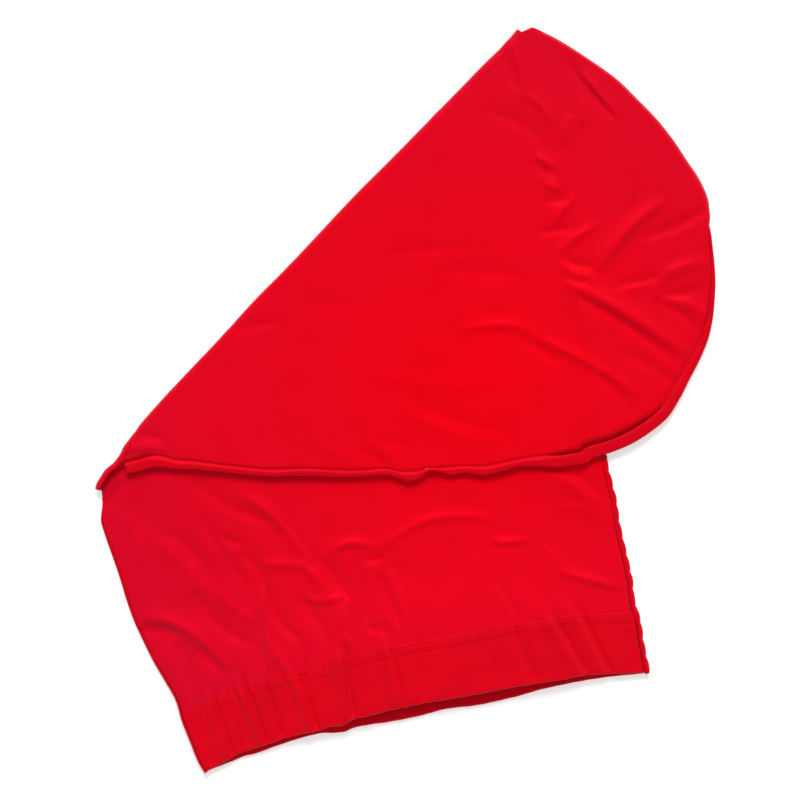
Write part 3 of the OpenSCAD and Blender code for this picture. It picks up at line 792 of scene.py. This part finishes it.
def casing_rings(u, up, section):
    """Rings of the casing along one run of the loop, up of the flap's edge or below it.
    On the flap it is a roll: a bell over the visible width, sunk where the cloth meets
    it. Where the cloth covers the rand it draws in under the cloth's edge."""
    c, inward = rand_at(u), rand_in(u)
    over = ease((u - COVERED + 0.015) / 0.03)[:, None]
    reach = np.broadcast_to(section[None, :, 0], (len(u), len(section)))
    flat = c[:, None] + inward[:, None] * (reach + 3.0 * over)[..., None]
    z = UNDER_Z - sink(flat) + (TOP_Z - UNDER_Z) * up + section[None, :, 1] * (1 - 0.3 * over)
    if up > 0:
        show = np.maximum(rand_show(u), 3)[:, None]
        off = (reach - 0.66 * show) / show
        bell = 0.9 * np.exp(-(off / np.where(off > 0, 0.20, 0.55)) ** 2)
        low = 1.3 * ease((reach - 0.75 * show) / (0.45 * show))
        z = z + (bell + 0.25 * waves(u * RAND_LEN, 0 * u, 34, 31)[:, None] - low) * (1 - over)
        z = z - 1.0 * over
    return lifted(flat, z)


def rand_casing():
    """Casing: a folded strip round the rand, over the flap's top edge, round the tip, back
    along its under edge and round the left corner; its section is a flattened roll, open
    on the cloth side, with its two plies a cavity apart."""
    section = folded_profile(CASING_W, CASING_HALF, CASING_HALF - CASING_PLY, 8, 9)
    run = np.linspace(LOOP_END, 1 - LOOP_END, 460)
    top = casing_rings(run, 1.0, section)
    low = casing_rings(run[::-1], 0.0, section)
    ends = []
    for first, last, sign in ((top[-1], low[0], 1.0), (low[-1], top[0], -1.0)):
        u0 = 1 - LOOP_END if sign > 0 else LOOP_END
        inward = rand_in(np.array([u0]))[0]
        ahead = np.array([inward[1], -inward[0], 0]) * sign
        t = np.linspace(0, 1, 10)[1:-1][:, None, None]
        middle = mix(first[None], last[None], (1 - np.cos(math.pi * t)) / 2)
        bulge = np.abs(first[:, 2] - last[:, 2])[None, :, None] / 2
        ends.append(middle + np.sin(math.pi * t) * bulge * ahead)
    rings = np.concatenate([top, ends[0], low, ends[1]])
    along = run_of(rings[:, 0])
    around = run_of(section)
    uv = np.stack(np.broadcast_arrays(along[:, None], around[None]), axis=-1)
    return outward(tube("rand_casing_cloth", rings, uv.reshape(-1, 2)))


def flat_loop(name, lo, hi, half):
    """Flat elastic that runs inside the casing, all the way round the loop."""
    section = np.array([[hi, half], [lo, half], [lo, -half], [hi, -half]])
    run = np.linspace(LOOP_END, 1 - LOOP_END, 160)
    top, low = casing_rings(run, 1.0, section), casing_rings(run[::-1], 0.0, section)
    rings = np.concatenate([top, low])
    return outward(tube(name, rings, np.zeros((rings.shape[0] * 4, 2))))


# ---- side seams and elastics ------------------------------------------------------

def side_seam(name, right):
    """Rolled seam of the two panels: an oval carried up the side, scalloped by its thread
    on the right one."""
    edge = 1.0 if right else 0.0
    inner = 1 - RIGHT_SEAM_W / WAIST_W if right else LEFT_SEAM_W / WAIST_W
    stop = RIGHT_SEAM_STOP if right else LEFT_SEAM_STOP
    run = float(column_len(np.array([edge]), False)[0])
    d = np.linspace(0, run - stop, 560 if right else 260)
    pe = body_at(np.full(d.shape, edge), d, False)
    pi = body_at(np.full(d.shape, inner), d, False)
    side = unit(pe - pi)
    wave = SCALLOP_H * (np.abs(np.sin(math.pi * d / SCALLOP_LEN)) ** 0.7 - 0.5) if right else 0 * d
    width = np.linalg.norm(pe - pi, axis=1) + wave
    high = front_height(np.full(d.shape, edge), d, pi)
    high = high + mix(BAND_HALF, FABRIC_T / 2, ease((d - BAND_H) / 12))
    a = np.linspace(0, 2 * math.pi, 14, endpoint=False)
    reach = 0.5 - 0.5 * np.cos(a)
    lift = 0.5 + 0.5 * np.sin(a)
    flat = pi[:, None] + side[:, None] * (width[:, None] * reach[None])[..., None]
    z = high[:, None] * lift[None]
    rings = lifted(flat, z)
    uv = np.stack(np.broadcast_arrays(d[:, None], (a * 3)[None]), axis=-1).reshape(-1, 2)
    return outward(rod(name, rings, uv))


def flat_elastic(name, u, is_front, height):
    """Waist elastic: a flat strip in the band's cavity, bent as the band is."""
    lo = BAND_HALF + GAP
    hi = lo + min(ELASTIC_W, PANEL_START - lo - GAP)
    across = np.linspace(hi, lo, 16)
    h = 0.7 * ELASTIC_T / 2
    section = np.vstack([np.column_stack([across, np.full(16, h)]),
                         np.column_stack([across[::-1], np.full(16, -h)])])
    d = np.broadcast_to(section[None, :, 0], (len(u), 32))
    uu = np.broadcast_to(u[:, None], d.shape)
    p = body_at(uu, d, is_front)
    z = section[None, :, 1] + height(uu, d, p, np.full(d.shape, -1.0))
    rings = lifted(p, z)
    uv = np.stack([uu * WAIST_W, d], axis=-1).reshape(-1, 2)
    return outward(rod(name, rings, uv))


# ---- thread ------------------------------------------------------------------------

def stitches(name, path, pitch, size, thick):
    """Row of stitches along a path of points: each a small six-sided rod with blunt ends,
    two thirds of the pitch long, half sunk into the cloth."""
    path = np.asarray(path, float)
    run = run_of(path)
    at = np.arange(pitch / 2, run[-1], pitch)

    def place(s):
        """Point of the path at a length along it."""
        return np.stack([np.interp(s, run, path[:, k]) for k in range(3)], axis=-1)
    s = at[:, None] + np.array([-0.5, -0.36, 0.36, 0.5])[None] * size
    mid = place(s)
    ahead = unit(place(at + 0.5) - place(at - 0.5))
    side = unit(np.cross(np.array([0, 0, 1.0]), ahead))
    up = np.cross(ahead, side)
    a = np.linspace(0, 2 * math.pi, 6, endpoint=False)
    fat = np.array([0.35, 1.0, 1.0, 0.35])
    ring = (np.cos(a)[:, None] * side[:, None, None] + np.sin(a)[:, None] * up[:, None, None])
    points = mid[:, :, None] + ring * (fat * thick / 2)[None, :, None, None]
    points[..., 2] -= (1 - fat)[None, :, None] * thick * 0.35
    count = len(at)
    one = np.vstack([grid_quads(4, 6, wrap=True),
                     [[0, 1, 4, 5], [1, 2, 3, 4]], [[23, 22, 19, 18], [22, 21, 20, 19]]])
    quads = (one[None] + 24 * np.arange(count)[:, None, None]).reshape(-1, 4)
    uv = np.tile(np.stack(np.meshgrid(np.arange(4), np.arange(6), indexing="ij"), -1)
                 .reshape(-1, 2), (count, 1))
    return outward(new_mesh(name, points.reshape(-1, 3), quads, uv))


def band_row(u, d, is_front, height):
    """Path of a stitch row on the upper face of a band, d up from its hem."""
    dd = np.full(u.shape, d)
    p = body_at(u, dd, is_front)
    z = height(u, dd, p, np.ones(u.shape)) + BAND_HALF + 0.1
    return lifted(p, z)


# ---- materials --------------------------------------------------------------------

def node_tree(name, rough, tint, sheen, sheen_tint, specular, sheen_rough=0.5):
    """New material with its shader's constant values on the shader's own sockets."""
    mat = bpy.data.materials.new(name)
    mat.use_nodes = True
    tree = mat.node_tree
    shader = tree.nodes["Principled BSDF"]
    shader.inputs["Roughness"].default_value = rough
    shader.inputs["Specular Tint"].default_value = (*tint, 1)
    shader.inputs["Specular IOR Level"].default_value = specular
    shader.inputs["Sheen Weight"].default_value = sheen
    shader.inputs["Sheen Tint"].default_value = (*sheen_tint, 1)
    shader.inputs["Sheen Roughness"].default_value = sheen_rough
    return mat, tree, shader


def add(tree, kind, **values):
    """Node with its settings and its unlinked inputs set by name."""
    node = tree.nodes.new(kind)
    for key, value in values.items():
        if hasattr(node, key):
            setattr(node, key, value)
        else:
            node.inputs[key.replace("_", " ")].default_value = value
    return node


def weave(tree, shader, pitch, depth):
    """Plain weave as bump: two sets of thread waves at right angles, in the piece's UV."""
    coords = add(tree, "ShaderNodeTexCoord")
    warp = add(tree, "ShaderNodeTexWave", bands_direction="X", Scale=0.314 / pitch,
               Distortion=0.6, Detail=1.0)
    weft = add(tree, "ShaderNodeTexWave", bands_direction="Y", Scale=0.314 / pitch,
               Distortion=0.6, Detail=1.0)
    both = add(tree, "ShaderNodeMath", operation="MAXIMUM")
    bump = add(tree, "ShaderNodeBump", Strength=0.6, Distance=depth)
    for wave in (warp, weft):
        tree.links.new(coords.outputs["UV"], wave.inputs["Vector"])
    tree.links.new(warp.outputs["Color"], both.inputs[0])
    tree.links.new(weft.outputs["Color"], both.inputs[1])
    tree.links.new(both.outputs[0], bump.inputs["Height"])
    tree.links.new(bump.outputs["Normal"], shader.inputs["Normal"])
    return coords


def dye_and_painted_shade(tree, shader, coords, colours, size, source="Object", painted_shade=None):
    """Cloth colour: soft cloudy change between two reds, and, if a third colour is given, painted
    shade: a blend towards that darker red outwards from the middle of the part, for the light's
    falloff."""
    cloud = add(tree, "ShaderNodeTexNoise", Scale=1 / size, Detail=3.0, Roughness=0.5)
    ramp = tree.nodes.new("ShaderNodeValToRGB")
    ramp.color_ramp.elements[0].position = 0.3
    ramp.color_ramp.elements[1].position = 0.72
    ramp.color_ramp.elements[0].color = (*colours[0], 1)
    ramp.color_ramp.elements[1].color = (*colours[1], 1)
    tree.links.new(coords.outputs[source], cloud.inputs["Vector"])
    tree.links.new(cloud.outputs["Fac"], ramp.inputs["Fac"])
    colour = ramp.outputs["Color"]
    # The optional third colour is painted shade: the cloth turns a darker, bluer red outwards from
    # the middle of the part, as the light falls off.
    if painted_shade:
        place = add(tree, "ShaderNodeMapping", Location=(-0.28, -0.75, 0),
                    Scale=(2.8, 2.8, 2.8))
        shade_gradient = add(tree, "ShaderNodeTexGradient", gradient_type="SPHERICAL")
        fade = add(tree, "ShaderNodeMix", data_type="RGBA")
        fade.inputs[6].default_value = (*painted_shade, 1)
        tree.links.new(coords.outputs["Object"], place.inputs["Vector"])
        tree.links.new(place.outputs["Vector"], shade_gradient.inputs["Vector"])
        tree.links.new(shade_gradient.outputs["Fac"], fade.inputs[0])
        tree.links.new(colour, fade.inputs[7])
        colour = fade.outputs[2]
    tree.links.new(colour, shader.inputs["Base Color"])


def coated_nylon():
    """Shell fabric: thin coated nylon, red, satin, finely woven."""
    mat, tree, shader = node_tree("coated_nylon_red", 0.42, (1.0, 0.005, 0.04), 0.2,
                                  (1.0, 0.02, 0.10), 0.5)
    coords = weave(tree, shader, 0.00045, 0.00003)
    # Its outer colour is painted shade: a darker, bluer red outwards from the middle, where the
    # light falls off.
    dye_and_painted_shade(tree, shader, coords, ((0.86, 0.0008, 0.004), (0.93, 0.0008, 0.004)), 0.12,
         painted_shade=(0.68, 0.003, 0.020))
    return mat


def bound_nylon():
    """Folded bindings: the same nylon in two plies, a touch deeper in colour."""
    mat, tree, shader = node_tree("bound_nylon_red", 0.45, (1.0, 0.03, 0.08), 0.3,
                                  (1.0, 0.06, 0.16), 0.5)
    coords = weave(tree, shader, 0.00045, 0.00004)
    dye_and_painted_shade(tree, shader, coords, ((0.68, 0.0012, 0.010), (0.76, 0.0012, 0.008)), 0.05)
    return mat


def red_thread():
    """Polyester thread, twisted."""
    mat, tree, shader = node_tree("red_thread", 0.5, (1.0, 0.05, 0.1), 0.2,
                                  (1.0, 0.1, 0.2), 0.5)
    coords = add(tree, "ShaderNodeTexCoord")
    twist = add(tree, "ShaderNodeTexWave", bands_direction="DIAGONAL", Scale=900.0)
    bump = add(tree, "ShaderNodeBump", Strength=0.5, Distance=0.00008)
    tree.links.new(coords.outputs["Object"], twist.inputs["Vector"])
    tree.links.new(twist.outputs["Color"], bump.inputs["Height"])
    tree.links.new(bump.outputs["Normal"], shader.inputs["Normal"])
    dye_and_painted_shade(tree, shader, coords, ((0.50, 0.001, 0.012), (0.62, 0.001, 0.014)), 0.01)
    return mat


def knit_elastic():
    """Elastic webbing: ribbed off-white knit."""
    mat, tree, shader = node_tree("knit_elastic_white", 0.8, (1, 1, 1), 0.3, (1, 1, 1), 0.3)
    coords = weave(tree, shader, 0.0012, 0.0002)
    dye_and_painted_shade(tree, shader, coords, ((0.70, 0.69, 0.66), (0.80, 0.79, 0.76)), 0.02)
    return mat


# ---- pieces -----------------------------------------------------------------------

SHELL, BOUND, THREAD, KNIT = coated_nylon(), bound_nylon(), red_thread(), knit_elastic()


def finish(piece, material, slot, *nodes):
    """Give a piece its material (the slot argument is not used), ride it on the body and replace
    its nodes.
    """
    piece.data.materials.append(material)
    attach(piece, "root")
    if nodes:
        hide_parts(*nodes)
    return piece


back = finish(back_panel(), SHELL, "shell_fabric", "back_panel")
front = finish(front_panel(), SHELL, "shell_fabric", "front_panel")

band_u = np.linspace(LEFT_IN, 1 - RIGHT_IN, 480)
front_band = finish(band("waistband_front_cloth", band_u, True, front_band_height),
                    BOUND, "binding_fabric", "waistband_front")
back_band = finish(band("waistband_back_cloth", band_u[::2], False, back_band_height),
                   BOUND, "binding_fabric", "waistband_back")
casing = finish(rand_casing(), BOUND, "binding_fabric", "rand_casing")
finish(side_seam("side_seam_left_cloth", False), BOUND, "binding_fabric", "side_seam_left")
finish(side_seam("side_seam_right_cloth", True), BOUND, "binding_fabric", "side_seam_right")

front_u = np.linspace(LEFT_IN, GATHER_W / WAIST_W, 160)
finish(flat_elastic("waist_elastic_front_strip", front_u, True, front_band_height),
       KNIT, "elastic_webbing", "waist_elastic_front")
back_u = np.linspace(LEFT_IN, 1 - RIGHT_IN, 120)
finish(flat_elastic("waist_elastic_back_strip", back_u, False, back_band_height),
       KNIT, "elastic_webbing", "waist_elastic_back")
finish(flat_loop("rand_elastic_strip", RAND_ELASTIC_AT, RAND_ELASTIC_AT + RAND_ELASTIC_W,
                 RAND_ELASTIC_T / 2),
       KNIT, "elastic_webbing", "rand_elastic")

row_u = np.linspace(0.02, 0.98, 400)
for number, d in enumerate(ROWS, 1):
    front_path = band_row(row_u, d, True, front_band_height)
    finish(stitches("front_band_row_%d" % number, front_path, STITCH_PITCH, STITCH_LEN, STITCH_T),
           THREAD, "sewing_thread")
    back_path = band_row(row_u, d, False, back_band_height)
    finish(stitches("back_band_row_%d" % number, back_path, STITCH_PITCH, STITCH_LEN, STITCH_T),
           THREAD, "sewing_thread")

# ---- floor, light and camera ----------------------------------------------------------

def pale_floor():
    """Plain white floor that keeps the object's shadow and looks white to the camera."""
    mesh = bpy.data.meshes.new("floor")
    mesh.from_pydata([(-4, -4, 0), (4, -4, 0), (4, 4, 0), (-4, 4, 0)], [], [(0, 1, 2, 3)])
    floor = bpy.data.objects.new("floor", mesh)
    SCENE.collection.objects.link(floor)
    mat = bpy.data.materials.new("floor_paper")
    mat.use_nodes = True
    tree = mat.node_tree
    tree.nodes.remove(tree.nodes["Principled BSDF"])
    paper = add(tree, "ShaderNodeBsdfDiffuse", Color=(0.82, 0.82, 0.82, 1))
    bare = add(tree, "ShaderNodeBsdfDiffuse", Color=(0.5, 0.5, 0.5, 1))
    glow = add(tree, "ShaderNodeEmission", Color=(1, 1, 1, 1), Strength=0.42)
    both = add(tree, "ShaderNodeAddShader")
    seen = add(tree, "ShaderNodeMixShader")
    path = add(tree, "ShaderNodeLightPath")
    eye = add(tree, "ShaderNodeMath", operation="MAXIMUM")
    tree.links.new(path.outputs["Is Camera Ray"], eye.inputs[0])
    tree.links.new(path.outputs["Is Glossy Ray"], eye.inputs[1])
    any_ray = add(tree, "ShaderNodeMath", operation="MAXIMUM")
    tree.links.new(eye.outputs[0], any_ray.inputs[0])
    tree.links.new(path.outputs["Is Transmission Ray"], any_ray.inputs[1])
    tree.links.new(paper.outputs[0], both.inputs[0])
    tree.links.new(glow.outputs[0], both.inputs[1])
    tree.links.new(any_ray.outputs[0], seen.inputs["Fac"])
    tree.links.new(bare.outputs[0], seen.inputs[1])
    tree.links.new(both.outputs[0], seen.inputs[2])
    tree.links.new(seen.outputs[0], tree.nodes["Material Output"].inputs["Surface"])
    mesh.materials.append(mat)


def window_light(place, target, strength, angle):
    """Broad even light from a window: a distant lamp that faces the target."""
    data = bpy.data.lights.new("window", "SUN")
    data.energy = strength
    data.angle = math.radians(angle)
    lamp = bpy.data.objects.new("window", data)
    lamp.location = place
    aim = Vector(target) - Vector(place)
    lamp.rotation_euler = aim.to_track_quat("-Z", "Y").to_euler()
    SCENE.collection.objects.link(lamp)


pale_floor()
window_light((0.28, 1.30, 1.00), (0.04, 0.26, 0), 2.2, 24)
world = bpy.data.worlds.new("studio")
SCENE.world = world
world.use_nodes = True
world.node_tree.nodes["Background"].inputs["Color"].default_value = (1, 1, 1, 1)
world.node_tree.nodes["Background"].inputs["Strength"].default_value = 0.50

camera_data = bpy.data.cameras.new("camera")
camera_data.lens = 85
camera_data.sensor_width = 36
camera = bpy.data.objects.new("camera", camera_data)
camera.location = (0.0403, 0.2678, 1.6056)
camera.rotation_euler = (0, 0, -0.2327)
SCENE.collection.objects.link(camera)
SCENE.camera = camera
SCENE.view_settings.view_transform = "Standard"
